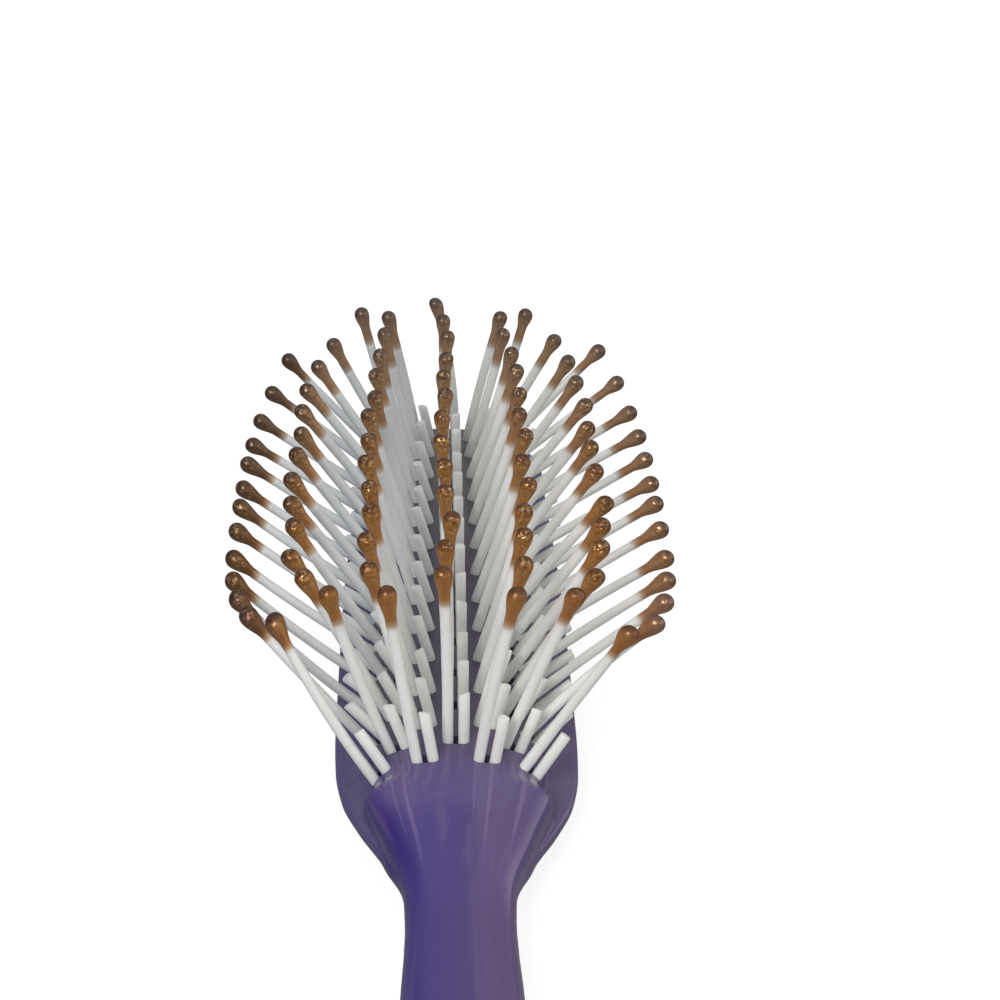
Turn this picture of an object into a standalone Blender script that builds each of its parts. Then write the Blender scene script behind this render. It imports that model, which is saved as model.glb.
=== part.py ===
"""Half-round styling brush with ball-tipped nylon bristles.

One moulded body runs from the rounded handle over a narrow neck into a raised bristle bed,
which stands on a thin oval plate. Staple-set tufts stand in the bed, seven lengthwise files by
thirteen cross rows, every second file half a pitch further on. Each tuft is one nylon strand
folded over in its hole: a long leg that ends in a dipped ball, and a short cut leg beside it.
Each cross row is one object, fused to its own slice of the half-round bed.

Lengths are in metres. In the helper functions y = 0 is the first tuft of the middle file and
z = 0 is the ridge of the bed; the objects are then placed so that the world origin is the middle
of the flat on the back of the head. +Y runs from the handle to the nose, +Z up the bristles.
Depths are measured down from the ridge of the bed.
"""
import math

import bmesh
import bpy
from mathutils import Vector

# Tuft pattern: the middle file first, then one side, outwards
CROSS_ROWS = 13
TUFT_PITCH = 0.0060
INNER_FILE_X = 0.0038
NEXT_FILE_X = 0.0070
OUTER_FILE_X = 0.0093
FILE_OFFSETS = (0.0, INNER_FILE_X, NEXT_FILE_X, OUTER_FILE_X)
FILE_SPLAYS_DEG = (0.0, 15.8, 33.6, 54.0)
END_SPLAY_LOSS = (0.0, 0.40, 0.59, 0.42)
SPLAY_LOSS_POWER = 4
FILE_DRAW_IN = 0.10
LEG_SET_DEG = -1.7
FIELD_SHIFT = -0.0004
END_LEAN = 0.125
TURNED_TUFTS = ((12, 3),)

# One tuft
LEG_DIAMETER = 0.00125
LEG_SPACING = 0.0018
LONG_LEG = 0.0203
SHORT_LEG = 0.0057
LEG_ROOT = 0.0010
LEG_ROOT_SHARE = 0.32
BALL_DIAMETER = 0.0023
BALL_NECK = 0.0024
LEG_SIDES = 4

# The faceted ball, in shares of its radius
BALL_WAIST = 0.2
BALL_CAP = 1.0
BALL_CAP_RADIUS = 0.6

# Bed under the bristles
BED_CROWN = 0.0058
BED_MARGIN = 0.00155
BED_BOW = 0.0005
BED_POWER = 2.0
SHOULDER_POWER = 4.0
BED_START_POWER = 2.7
NOSE_FALL = 0.0020
NOSE_FALL_START_Y = 0.0630
NOSE_LENGTH = 0.0026
SLICE_SHARE = 0.37
SLICE_EDGE_HEIGHT = 0.0009
SEAM = 0.0003

# Plate round the bed
PLATE_RIM_DEPTH = 0.0065
PLATE_RIM_THICKNESS = 0.0015
PLATE_RISE = 0.0009
PLATE_HALF_WIDTH = 0.0142
PLATE_NOSE_MARGIN = 0.0030
PLATE_START_Y = -0.0150
PLATE_START_BACK_DEPTH = 0.0086
PLATE_CORNER_POWER = 16
NOSE_RISE = 0.0020
NOSE_RISE_LENGTH = 0.0180
BACK_DEPTH = 0.0115
BACK_FLAT_SHARE = 0.36
BACK_CURVE_POWER = 1.7
BACK_FLAT_START_Y = 0.0040

# Neck and handle
HANDLE_START_Y = -0.0300
HANDLE_START_HALF_WIDTH = 0.0061
NECK_Y = -0.0210
NECK_HALF_WIDTH = 0.0057
NECK_TOP_DEPTH = 0.0029
NECK_BOTTOM_DEPTH = 0.0098
GRIP_Y = -0.0900
GRIP_HALF_WIDTH = 0.0076
GRIP_TOP_DEPTH = 0.0008
HANDLE_END_Y = -0.1420
HANDLE_END_HALF_WIDTH = 0.0066
HANDLE_END_TOP_DEPTH = 0.0030
HANDLE_END_BOTTOM_DEPTH = 0.0105
HANDLE_END_ROUNDING = 0.0060
HANDLE_POWER = 2.3
TONGUE_START_Y = -0.0165
TONGUE_START_HALF_WIDTH = 0.00585
TONGUE_MIDDLE_Y = -0.0100
TONGUE_MIDDLE_HALF_WIDTH = 0.0080
NECK_COVER = 0.0003
SHOULDER_LENGTH = 0.0027
SHOULDER_HALF_WIDTH = 0.01035
SHOULDER_CORNER = 0.0006
SHOULDER_CORNER_CUT = 0.0002
WAIST_HALF_WIDTH = 0.0096

FIELD_LENGTH = (CROSS_ROWS - 0.5) * TUFT_PITCH
FIELD_MIDDLE = FIELD_LENGTH / 2
BED_START_Y = -TUFT_PITCH / 4
BED_END_Y = FIELD_LENGTH + TUFT_PITCH / 4
SHOULDER_Y = BED_START_Y - SHOULDER_LENGTH
FILES = 2 * len(FILE_OFFSETS) - 1
WORLD_PLACE = Vector((0.0, -FIELD_MIDDLE, BACK_DEPTH))

# Plate from its start at the neck to its full width
PLATE_FLANK_Y = -0.0110
PLATE_FLANK_SWELL = 0.226
PLATE_SHOULDER_Y = -0.0055
PLATE_SHOULDER_SWELL = 0.61
PLATE_BED_START_Y = -0.0010
PLATE_BED_START_SWELL = 0.84
PLATE_FIRST_TUFTS_Y = 0.0040
PLATE_FIRST_TUFTS_SWELL = 0.945
PLATE_FULL_Y = 0.0120
PLATE_FULL_SWELL = 0.985
PLATE_NOSE_SWELL = 0.90
PLATE_NOSE_FULLNESS = 0.8
BED_NOSE_FULLNESS = 0.6
HANDLE_END_FULLNESS = 0.8

# Fineness of the facets
SPINE_TOP_SHARES = (0.0, 0.17, 0.34, 0.51, 0.67, 0.80, 0.90, 0.965, 0.99, 1.0)
SPINE_BOTTOM_SHARES = (0.96, 0.84, 0.62, 0.36)
PLATE_TOP_SHARES = (0.0, 0.45, 0.72, 0.88, 0.95, 0.985)
PLATE_BACK_SHARES = (0.985, 0.95, 0.86, 0.74, 0.60, 0.47)
SLICE_POINTS = 13
HANDLE_STATIONS = 15
NECK_STATIONS = 13
PLATE_NECK_STATIONS = 10
PLATE_SIDE_STATIONS = 7
PLATE_NOSE_STATIONS = 4
NOSE_ANGLES_DEG = (25, 45, 62, 76, 86)
CUTTER_TOP = 0.0040

BODY_PURPLE = (0.115, 0.085, 0.26, 1.0)
BODY_ROUGHNESS = 0.2
NYLON_WHITE = (0.74, 0.74, 0.70, 1.0)
NYLON_ROUGHNESS = 0.35


def clear_scene():
    """Remove every object that the file starts with."""
    for obj in list(bpy.data.objects):
        bpy.data.objects.remove(obj, do_unlink=True)


def make_material(name, color, roughness):
    """A plastic with the given colour and roughness."""
    material = bpy.data.materials.new(name)
    material.use_nodes = True
    shader = material.node_tree.nodes["Principled BSDF"]
    shader.inputs["Base Color"].default_value = color
    shader.inputs["Roughness"].default_value = roughness
    shader.inputs["Metallic"].default_value = 0.0
    return material


def add_object(name, mesh_data, material=None):
    """Link a bmesh as a named object at the brush's place in the world."""
    mesh = bpy.data.meshes.new(name)
    mesh_data.to_mesh(mesh)
    mesh_data.free()
    obj = bpy.data.objects.new(name, mesh)
    obj.location = WORLD_PLACE
    bpy.context.scene.collection.objects.link(obj)
    if material:
        mesh.materials.append(material)
    return obj


def add_helper(name, mesh_data):
    """Link a bmesh as an operand of a Boolean, which isn't part of the brush."""
    obj = add_object(name, mesh_data)
    obj.hide_render = True
    obj.display_type = "WIRE"
    return obj


def add_boolean(obj, helper, operation):
    """Join a helper to an object, or cut it out."""
    modifier = obj.modifiers.new(operation.lower(), "BOOLEAN")
    modifier.operation = operation
    modifier.solver = "EXACT"
    modifier.object = helper


def through(stations, y):
    """Value at y of a smooth curve through (y, value) stations that never overshoots them."""
    if y <= stations[0][0]:
        return stations[0][1]
    if y >= stations[-1][0]:
        return stations[-1][1]
    steps = [(b[1] - a[1]) / (b[0] - a[0]) for a, b in zip(stations, stations[1:])]
    slopes = [0.0]
    for left, right in zip(steps, steps[1:]):
        slopes.append(2 * left * right / (left + right) if left * right > 0 else 0.0)
    slopes.append(0.0)
    for index, (start, end) in enumerate(zip(stations, stations[1:])):
        if start[0] <= y <= end[0]:
            span = end[0] - start[0]
            t = (y - start[0]) / span
            rise = 3 * t**2 - 2 * t**3
            bend_in = t * (1 - t)**2 * span * slopes[index]
            bend_out = t**2 * (t - 1) * span * slopes[index + 1]
            return start[1] + (end[1] - start[1]) * rise + bend_in + bend_out
    return stations[-1][1]


def field_share(y):
    """Place along the bristle field: -1 at its handle end, 1 at its nose end."""
    return max(-1.0, min(1.0, (y - FIELD_MIDDLE) / FIELD_MIDDLE))


def nose_fall(y):
    """How far the bed's ridge has fallen over the last rows before the nose."""
    return NOSE_FALL * (max(0.0, y - NOSE_FALL_START_Y) / (BED_END_Y - NOSE_FALL_START_Y))**2


def bow_depth(y):
    """Depth of the bed's ridge at y: a slight bow to both ends, then the fall to the nose."""
    return BED_BOW * field_share(y)**2 + nose_fall(y)


def slice_thickness(y):
    """Thickness of a bristle slice under the ridge."""
    return SLICE_SHARE * (BED_CROWN - bow_depth(y))


def file_side(number):
    """Which offset a file has, and on which side of the middle plane."""
    side = number - len(FILE_OFFSETS) + 1
    return abs(side), (side > 0) - (side < 0)


def file_x(number, y):
    """Place of a file's hole centres across the bed at y; the field stands a little to the left."""
    offset, sign = file_side(number)
    return FIELD_SHIFT + sign * FILE_OFFSETS[offset] * (1 - FILE_DRAW_IN * field_share(y)**2)


def file_splay(number, y):
    """Angle of a file's legs from straight up, to the right."""
    offset, sign = file_side(number)
    kept = 1 - END_SPLAY_LOSS[offset] * abs(field_share(y))**SPLAY_LOSS_POWER
    return math.radians(sign * FILE_SPLAYS_DEG[offset] * kept + LEG_SET_DEG)


def bed_half_width(y):
    """Half of the bed's width beside the bristles."""
    return file_x(FILES - 1, y) - FIELD_SHIFT + BED_MARGIN


def bed_top(x, y, depth=0.0):
    """Height of the half-round bed's surface, or of a like surface at a depth below it."""
    share = min(1.0, abs(x) / (spine_half_width(y) - depth))
    crown = BED_CROWN - depth - bow_depth(y)
    power = spine_power(y)
    return -BED_CROWN + crown * (1 - share**power)**(1 / power)


def bridge_rings(rings):
    """A closed skin through rings of equally many points, capped at both ends."""
    skin = bmesh.new()
    loops = [[skin.verts.new(point) for point in ring] for ring in rings]
    count = len(loops[0])
    for lower, upper in zip(loops, loops[1:]):
        for index in range(count):
            after = (index + 1) % count
            skin.faces.new((lower[index], lower[after], upper[after], upper[index]))
    skin.faces.new(reversed(loops[0]))
    skin.faces.new(loops[-1])
    bmesh.ops.recalc_face_normals(skin, faces=skin.faces)
    return skin


def spine_half_width(y):
    """Half-width of the handle, neck and bed at y."""
    first_row_end = TUFT_PITCH / 2
    stations = (
        (HANDLE_END_Y, HANDLE_END_HALF_WIDTH),
        (GRIP_Y, GRIP_HALF_WIDTH),
        (HANDLE_START_Y, HANDLE_START_HALF_WIDTH),
        (NECK_Y, NECK_HALF_WIDTH),
        (TONGUE_START_Y, TONGUE_START_HALF_WIDTH),
        (TONGUE_MIDDLE_Y, TONGUE_MIDDLE_HALF_WIDTH),
        (SHOULDER_Y - SHOULDER_CORNER, SHOULDER_HALF_WIDTH - SHOULDER_CORNER_CUT),
        (SHOULDER_Y, SHOULDER_HALF_WIDTH),
        (BED_START_Y, WAIST_HALF_WIDTH),
        (first_row_end, bed_half_width(first_row_end)),
    )
    return through(stations, y) if y < first_row_end else bed_half_width(y)


def spine_top_depth(y):
    """Depth of the top line below the bed's ridge at y."""
    stations = (
        (HANDLE_END_Y, HANDLE_END_TOP_DEPTH),
        (GRIP_Y, GRIP_TOP_DEPTH),
        (NECK_Y, NECK_TOP_DEPTH),
        (BED_START_Y, BED_BOW),
    )
    return through(stations, y) if y < BED_START_Y else bow_depth(y)


def spine_bottom_depth(y):
    """Depth of the underside of the handle, which runs on under the bed inside the plate."""
    stations = (
        (HANDLE_END_Y, HANDLE_END_BOTTOM_DEPTH),
        (GRIP_Y, BACK_DEPTH),
        (NECK_Y, NECK_BOTTOM_DEPTH),
        (0.0, (BACK_DEPTH + NECK_BOTTOM_DEPTH) / 2),
        (FIELD_MIDDLE, (BACK_DEPTH + PLATE_RIM_DEPTH) / 2),
        (BED_END_Y, PLATE_RIM_DEPTH),
    )
    return through(stations, y)


def spine_power(y):
    """Fullness of the upper cross-section: round at the handle and bed, flat at the shoulder."""
    stations = (
        (NECK_Y, HANDLE_POWER),
        (SHOULDER_Y, SHOULDER_POWER),
        (BED_START_Y, BED_START_POWER),
        (TUFT_PITCH, BED_POWER),
    )
    return through(stations, y)


def spine_ring(y, width_share=1.0):
    """Cross-section of the handle, neck or bed; width_share narrows it to round off an end."""
    half_width = spine_half_width(y) * width_share
    blend = through(((NECK_Y, 0.0), (SHOULDER_Y, 1.0)), y)
    power = spine_power(y)
    top = -spine_top_depth(y)
    bottom = -spine_bottom_depth(y)
    middle = (1 - blend) * (top + bottom) / 2 - blend * BED_CROWN
    top = middle + (top - middle) * math.sqrt(width_share)
    bottom = middle + (bottom - middle) * math.sqrt(width_share)
    right = []
    for share in SPINE_TOP_SHARES:
        full = (1 - share**power)**(1 / power)
        right.append((half_width * share, middle + (top - middle) * full))
    for share in SPINE_BOTTOM_SHARES:
        full = (1 - share**HANDLE_POWER)**(1 / HANDLE_POWER)
        right.append((half_width * share, middle + (bottom - middle) * full))
    right.append((0.0, bottom))
    left = [(-x, z) for x, z in reversed(right[1:-1])]
    return [(x, y, z) for x, z in right + left]


def spread(start, end, count):
    """Evenly spaced values from start to end, both included."""
    return [start + (end - start) * index / (count - 1) for index in range(count)]


def spine_skin():
    """Handle, neck and bed as one loft with rounded ends."""
    rings = []
    end_angles = [math.radians(angle) for angle in NOSE_ANGLES_DEG]
    for angle in reversed(end_angles):
        y = HANDLE_END_Y + HANDLE_END_ROUNDING * (1 - math.sin(angle))
        rings.append(spine_ring(y, math.cos(angle)**HANDLE_END_FULLNESS))
    first = HANDLE_END_Y + HANDLE_END_ROUNDING
    rings += [spine_ring(y) for y in spread(first, NECK_Y, HANDLE_STATIONS)]
    rings += [spine_ring(y) for y in spread(NECK_Y, SHOULDER_Y, NECK_STATIONS)[1:]]
    rings.append(spine_ring((SHOULDER_Y + BED_START_Y) / 2))
    rings += [spine_ring(y) for y in spread(BED_START_Y, BED_END_Y, CROSS_ROWS + 1)]
    for angle in end_angles:
        y = BED_END_Y + NOSE_LENGTH * math.sin(angle)
        rings.append(spine_ring(y, math.cos(angle)**BED_NOSE_FULLNESS))
    return bridge_rings(rings)


def plate_half_width(y):
    """Half-width of the plate at y, from the neck to where its nose starts."""
    neck = NECK_HALF_WIDTH
    swell = PLATE_HALF_WIDTH - neck
    stations = (
        (PLATE_START_Y, neck + NECK_COVER),
        (PLATE_FLANK_Y, neck + PLATE_FLANK_SWELL * swell),
        (PLATE_SHOULDER_Y, neck + PLATE_SHOULDER_SWELL * swell),
        (PLATE_BED_START_Y, neck + PLATE_BED_START_SWELL * swell),
        (PLATE_FIRST_TUFTS_Y, neck + PLATE_FIRST_TUFTS_SWELL * swell),
        (PLATE_FULL_Y, neck + PLATE_FULL_SWELL * swell),
        (FIELD_MIDDLE, PLATE_HALF_WIDTH),
        (BED_END_Y - TUFT_PITCH, neck + PLATE_NOSE_SWELL * swell),
    )
    return through(stations, y)


def plate_back_depth(y):
    """Depth of the plate's back at y, flat along the head and rising at both ends."""
    stations = (
        (PLATE_START_Y, PLATE_START_BACK_DEPTH),
        (BACK_FLAT_START_Y, BACK_DEPTH),
        (BED_END_Y - NOSE_RISE_LENGTH, BACK_DEPTH),
        (BED_END_Y + NOSE_LENGTH, BACK_DEPTH - NOSE_RISE),
    )
    return through(stations, y)


def plate_ring(y, width_share=1.0, height_share=1.0):
    """Cross-section of the plate: a thin rim, a slight rise to the bed and a full back."""
    half_width = plate_half_width(y) * width_share
    rim = -PLATE_RIM_DEPTH
    half_rim = PLATE_RIM_THICKNESS / 2
    rise = PLATE_RISE * height_share
    back = (plate_back_depth(y) - PLATE_RIM_DEPTH - half_rim) * height_share
    right = []
    for share in PLATE_TOP_SHARES:
        corner = (1 - share**PLATE_CORNER_POWER)**(1 / PLATE_CORNER_POWER)
        right.append((share, rim + half_rim * corner + rise * (1 - share**2)))
    right.append((1.0, rim))
    for share in PLATE_BACK_SHARES:
        corner = (1 - share**PLATE_CORNER_POWER)**(1 / PLATE_CORNER_POWER)
        curve = ((share - BACK_FLAT_SHARE) / (1 - BACK_FLAT_SHARE))**BACK_CURVE_POWER
        right.append((share, rim - half_rim * corner - back * (1 - curve)))
    right.append((BACK_FLAT_SHARE, rim - half_rim - back))
    right.append((0.0, rim - half_rim - back))
    left = [(-x, z) for x, z in reversed(right[1:-1])]
    return [(x * half_width, y, z) for x, z in right + left]


def plate_skin():
    """The oval plate as one loft with a rounded nose."""
    rise_start = BED_END_Y - NOSE_RISE_LENGTH
    nose_start = BED_END_Y - TUFT_PITCH
    stations = spread(PLATE_START_Y, BACK_FLAT_START_Y, PLATE_NECK_STATIONS)
    stations += spread(BACK_FLAT_START_Y, rise_start, PLATE_SIDE_STATIONS)[1:]
    stations += spread(rise_start, nose_start, PLATE_NOSE_STATIONS)[1:]
    rings = [plate_ring(y) for y in stations]
    length = TUFT_PITCH + NOSE_LENGTH + PLATE_NOSE_MARGIN
    for angle_deg in NOSE_ANGLES_DEG:
        angle = math.radians(angle_deg)
        share = math.cos(angle)
        y = nose_start + length * math.sin(angle)
        rings.append(plate_ring(y, share**PLATE_NOSE_FULLNESS, share))
    return bridge_rings(rings)


def arch(y, depth, outward):
    """Points over the bed at a depth below its surface, from its right foot to its left."""
    crown = BED_CROWN - bow_depth(y) - depth
    power = spine_power(y)
    foot = math.asin((1 - ((SLICE_EDGE_HEIGHT - outward) / crown)**power)**(1 / power))
    half_width = spine_half_width(y) - depth
    points = []
    for angle in spread(foot, -foot, SLICE_POINTS):
        x = half_width * math.sin(angle)
        points.append((x, bed_top(x, y, depth)))
    return points


def pocket_ring(y):
    """Cross-section of the space over the body's floor under the bed slices."""
    reach = PLATE_HALF_WIDTH + SEAM
    shelf = -BED_CROWN + SLICE_EDGE_HEIGHT - SEAM
    floor = arch(y, slice_thickness(y) + SEAM, SEAM)
    floor[0] = (floor[0][0], shelf)
    floor[-1] = (floor[-1][0], shelf)
    outline = [(-reach, shelf), (-reach, CUTTER_TOP), (reach, CUTTER_TOP), (reach, shelf)]
    return [(x, y, z) for x, z in outline + floor]


def pocket_skin():
    """Cutter for the space that the bed slices fill, open at the top and sides."""
    inner = spread(BED_START_Y, BED_END_Y, CROSS_ROWS + 1)
    stations = [BED_START_Y - SEAM / 2] + inner[1:-1] + [BED_END_Y + SEAM / 2]
    return bridge_rings([pocket_ring(y) for y in stations])


def build_body(material):
    """The one-piece moulding, without the bed slices that carry the bristles."""
    body = add_object("body", spine_skin(), material)
    add_boolean(body, add_helper("plate_form", plate_skin()), "UNION")
    add_boolean(body, add_helper("pocket_form", pocket_skin()), "DIFFERENCE")
    return body


def slice_ring(y):
    """Cross-section of one cross row's slice of the bed: an arch that stands on its two feet."""
    outer = arch(y, 0.0, 0.0)
    inner = arch(y, slice_thickness(y), 0.0)
    return [(x, y, z) for x, z in outer + inner[::-1]]


def tuft_y(row, number):
    """Place of a tuft along the bed; every second file stands half a pitch further on."""
    stagger = 0.5 if number % 2 else 0.0
    return (row + stagger) * TUFT_PITCH


def leg_frame(row, number, side):
    """Foot on the bed and directions of one leg; side is -1 for the long leg, 1 for the short."""
    if (row, number) in TURNED_TUFTS:
        side = -side
    y = tuft_y(row, number)
    x = file_x(number, y)
    splay = file_splay(number, y)
    hole = Vector((x, y, bed_top(x, y)))
    across = Vector((math.cos(splay), 0.0, -math.sin(splay)))
    along = Vector((math.sin(splay), -END_LEAN * field_share(y), math.cos(splay)))
    return hole + across * (side * LEG_SPACING / 2), across, along.normalized()


def add_leg(skin, foot, across, along, profile):
    """Add one strand with square sections, from (distance, radius) pairs up the leg."""
    forward = along.cross(across).normalized()
    loops = []
    for distance, radius in profile:
        centre = foot + along * distance
        loop = []
        for index in range(LEG_SIDES):
            angle = 2 * math.pi * (index + 0.5) / LEG_SIDES
            offset = across * math.cos(angle) + forward * math.sin(angle)
            loop.append(skin.verts.new(centre + offset * radius))
        loops.append(loop)
    for lower, upper in zip(loops, loops[1:]):
        for index in range(LEG_SIDES):
            after = (index + 1) % LEG_SIDES
            skin.faces.new((lower[index], lower[after], upper[after], upper[index]))
    skin.faces.new(reversed(loops[0]))
    skin.faces.new(loops[-1])


def tuft_skin(row):
    """All the legs of one cross row."""
    radius = LEG_DIAMETER / 2 * math.sqrt(math.pi / 2)
    ball = BALL_DIAMETER / 2
    skin = bmesh.new()
    for number in range(FILES):
        y = tuft_y(row, number)
        bed_height = BED_CROWN + bed_top(file_x(number, y), y)
        root = min(LEG_ROOT, LEG_ROOT_SHARE * bed_height)
        length = LONG_LEG + nose_fall(y)
        short_profile = ((-root, radius), (SHORT_LEG, radius))
        long_profile = (
            (-root, radius),
            (length - BALL_NECK, radius),
            (length - BALL_WAIST * ball, ball),
            (length + BALL_CAP * ball, BALL_CAP_RADIUS * ball),
        )
        for side, profile in ((-1, long_profile), (1, short_profile)):
            foot, across, along = leg_frame(row, number, side)
            add_leg(skin, foot, across, along, profile)
    bmesh.ops.recalc_face_normals(skin, faces=skin.faces)
    return skin


def build_row(row, material):
    """One cross row of tufts, fused to its slice of the bed."""
    start = BED_START_Y + row * TUFT_PITCH + SEAM / 2
    end = start + TUFT_PITCH - SEAM
    name = "bristle_row_%02d" % (row + 1)
    slice_object = add_object(name, bridge_rings([slice_ring(start), slice_ring(end)]), material)
    add_boolean(slice_object, add_helper(name + "_legs", tuft_skin(row)), "UNION")
    return slice_object


def build():
    """Make the whole brush."""
    clear_scene()
    purple = make_material("body_plastic", BODY_PURPLE, BODY_ROUGHNESS)
    nylon = make_material("nylon", NYLON_WHITE, NYLON_ROUGHNESS)
    build_body(purple)
    for row in range(CROSS_ROWS):
        build_row(row, nylon)


build()
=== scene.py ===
"""Looks of the styling brush with ball-tipped bristles.

The pieces are a one-piece moulded body with drilled tuft holes, and for each cross row of tufts
its folded nylon strands, its dipped ball tips and the flat metal anchors that hold the strands.

Lengths are in metres. As in the construction, the brush is worked out with y = 0 at the first
tuft of the middle file and z = 0 at the ridge of the bristle bed, and then placed so that the
origin is the middle of the flat on the back of the head.
"""
import math
import random

import bmesh
import bpy
from mathutils import Matrix, Vector


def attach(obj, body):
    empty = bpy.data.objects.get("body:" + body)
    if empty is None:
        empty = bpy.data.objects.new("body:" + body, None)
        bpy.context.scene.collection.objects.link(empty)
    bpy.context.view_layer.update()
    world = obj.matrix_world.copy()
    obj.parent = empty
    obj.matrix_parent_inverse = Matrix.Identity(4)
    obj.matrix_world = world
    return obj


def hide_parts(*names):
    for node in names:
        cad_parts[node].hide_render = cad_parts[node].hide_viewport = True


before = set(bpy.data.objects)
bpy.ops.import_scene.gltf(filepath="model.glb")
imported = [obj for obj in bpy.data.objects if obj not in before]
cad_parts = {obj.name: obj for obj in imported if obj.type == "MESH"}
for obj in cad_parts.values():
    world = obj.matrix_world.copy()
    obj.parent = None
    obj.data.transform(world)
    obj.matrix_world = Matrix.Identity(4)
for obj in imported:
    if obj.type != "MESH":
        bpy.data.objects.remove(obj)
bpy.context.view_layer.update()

# Tuft pattern: the middle file first, then one side, outwards
CROSS_ROWS = 13
TUFT_PITCH = 0.0060
FILE_OFFSETS = (0.0, 0.0038, 0.0070, 0.0093)
FILE_SPLAYS_DEG = (0.0, 15.8, 33.6, 54.0)
END_SPLAY_LOSS = (0.0, 0.40, 0.59, 0.42)
SPLAY_LOSS_POWER = 4
FILE_DRAW_IN = 0.10
LEG_SET_DEG = -1.7
FIELD_SHIFT = -0.0004
END_LEAN = 0.125
TURNED_TUFTS = ((12, 3),)
FILES = 2 * len(FILE_OFFSETS) - 1

# Lean of the long legs, in degrees: first towards the nose at the first row, file by file from the
# left, which fades out to the last row; then to the right, of a turned tuft; then irregularly
FILE_LEANS_DEG = (8, 0, 0, 0, 0, -3, -4)
TURNED_LEAN_DEG = -7
LEAN_SPREAD_DEG = 1.5
LEAN_SEED = 5

# One tuft: a strand folded over an anchor, with a long leg and a short leg
STRAND_RADIUS = 0.000625
LEG_SPACING = 0.0018
LONG_LEG = 0.0203
SHORT_LEG = 0.0057
FOLD_DEPTH = 0.0027
HOLE_CLEARANCE = 0.00005
ANCHOR_THICKNESS = 0.00042
ANCHOR_WIDTH = 0.0017
ANCHOR_HEIGHT = 0.0014
ANCHOR_SINK = 0.0006
ANCHOR_BEVEL = 0.00008
CUT_BEVEL = 0.0001

# Irregularities of a tuft: bow of its long leg, slant of its cut, length of its short leg and
# share of its ball's drop
BEND_SPREAD = 0.0008
CUT_ACROSS_SPREAD = 0.35
CUT_FORWARD_RANGE = (-0.45, 0.05)
SHORT_LEG_SPREAD = 0.0003
DROP_RANGE = (0.85, 1.1)
TUFT_SEED = 7

# Dipped tips: towards the nose the dip is longer and the ball smaller; DIP_LENGTHS go file by file
# from the left
BALL_RADIUS = 0.00112
MIDDLE_BALL_LOSS = 0.07
BALL_SHRINK = 0.08
BALL_DROP = 0.0027
DIP_LENGTHS = (0.0036, 0.0041, 0.0043, 0.0040, 0.0042, 0.0040, 0.0038)
DIP_GROWTH = 0.0012
DIP_COVER = 0.000015
OUTER_LEG_SLIMMING = 0.14

# Bed, plate, neck and handle
BED_CROWN = 0.0058
BED_MARGIN = 0.00155
BED_BOW = 0.0005
BED_POWER = 2.0
SHOULDER_POWER = 4.0
BED_START_POWER = 2.7
NOSE_FALL = 0.0020
NOSE_FALL_START_Y = 0.0630
NOSE_LENGTH = 0.0026
PLATE_RIM_DEPTH = 0.0065
PLATE_RIM_THICKNESS = 0.0015
PLATE_RISE = 0.0009
PLATE_HALF_WIDTH = 0.0142
PLATE_NOSE_MARGIN = 0.00297
PLATE_START_Y = -0.0150
PLATE_START_BACK_DEPTH = 0.0086
NOSE_RISE = 0.0020
NOSE_RISE_LENGTH = 0.0180
BACK_DEPTH = 0.0115
BACK_FLAT_SHARE = 0.36
BACK_CURVE_POWER = 1.7
BACK_FLAT_START_Y = 0.0040
HANDLE_START_Y = -0.0300
HANDLE_START_HALF_WIDTH = 0.0061
NECK_Y = -0.0210
NECK_HALF_WIDTH = 0.0057
NECK_TOP_DEPTH = 0.0029
NECK_BOTTOM_DEPTH = 0.0098
GRIP_Y = -0.0900
GRIP_HALF_WIDTH = 0.0076
GRIP_TOP_DEPTH = 0.0008
HANDLE_END_Y = -0.1420
HANDLE_END_HALF_WIDTH = 0.0066
HANDLE_END_TOP_DEPTH = 0.0030
HANDLE_END_BOTTOM_DEPTH = 0.0105
HANDLE_END_ROUNDING = 0.0060
HANDLE_POWER = 2.3
TONGUE_START_Y = -0.0165
TONGUE_START_HALF_WIDTH = 0.00585
TONGUE_MIDDLE_Y = -0.0100
TONGUE_MIDDLE_HALF_WIDTH = 0.0080
NECK_COVER = 0.0003
SHOULDER_LENGTH = 0.0027
SHOULDER_HALF_WIDTH = 0.01035
SHOULDER_CORNER = 0.0006
SHOULDER_CORNER_CUT = 0.0002
WAIST_HALF_WIDTH = 0.0096
PLATE_FLANK_Y = -0.0110
PLATE_FLANK_SWELL = 0.226
PLATE_SHOULDER_Y = -0.0055
PLATE_SHOULDER_SWELL = 0.61
PLATE_BED_START_Y = -0.0010
PLATE_BED_START_SWELL = 0.84
PLATE_FIRST_TUFTS_Y = 0.0040
PLATE_FIRST_TUFTS_SWELL = 0.945
PLATE_FULL_Y = 0.0120
PLATE_FULL_SWELL = 0.985
PLATE_NOSE_SWELL = 0.90
PLATE_NOSE_FULLNESS = 0.8
BED_NOSE_FULLNESS = 0.6
HANDLE_END_FULLNESS = 0.8
FOOT_FILLET = 0.00035
FOOT_FILLET_SHARE = 0.3
RIM_SHARE = 0.5
LEAST_FLANGE = 0.0002
SPINE_SIDE_START_DEG = 78

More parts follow.
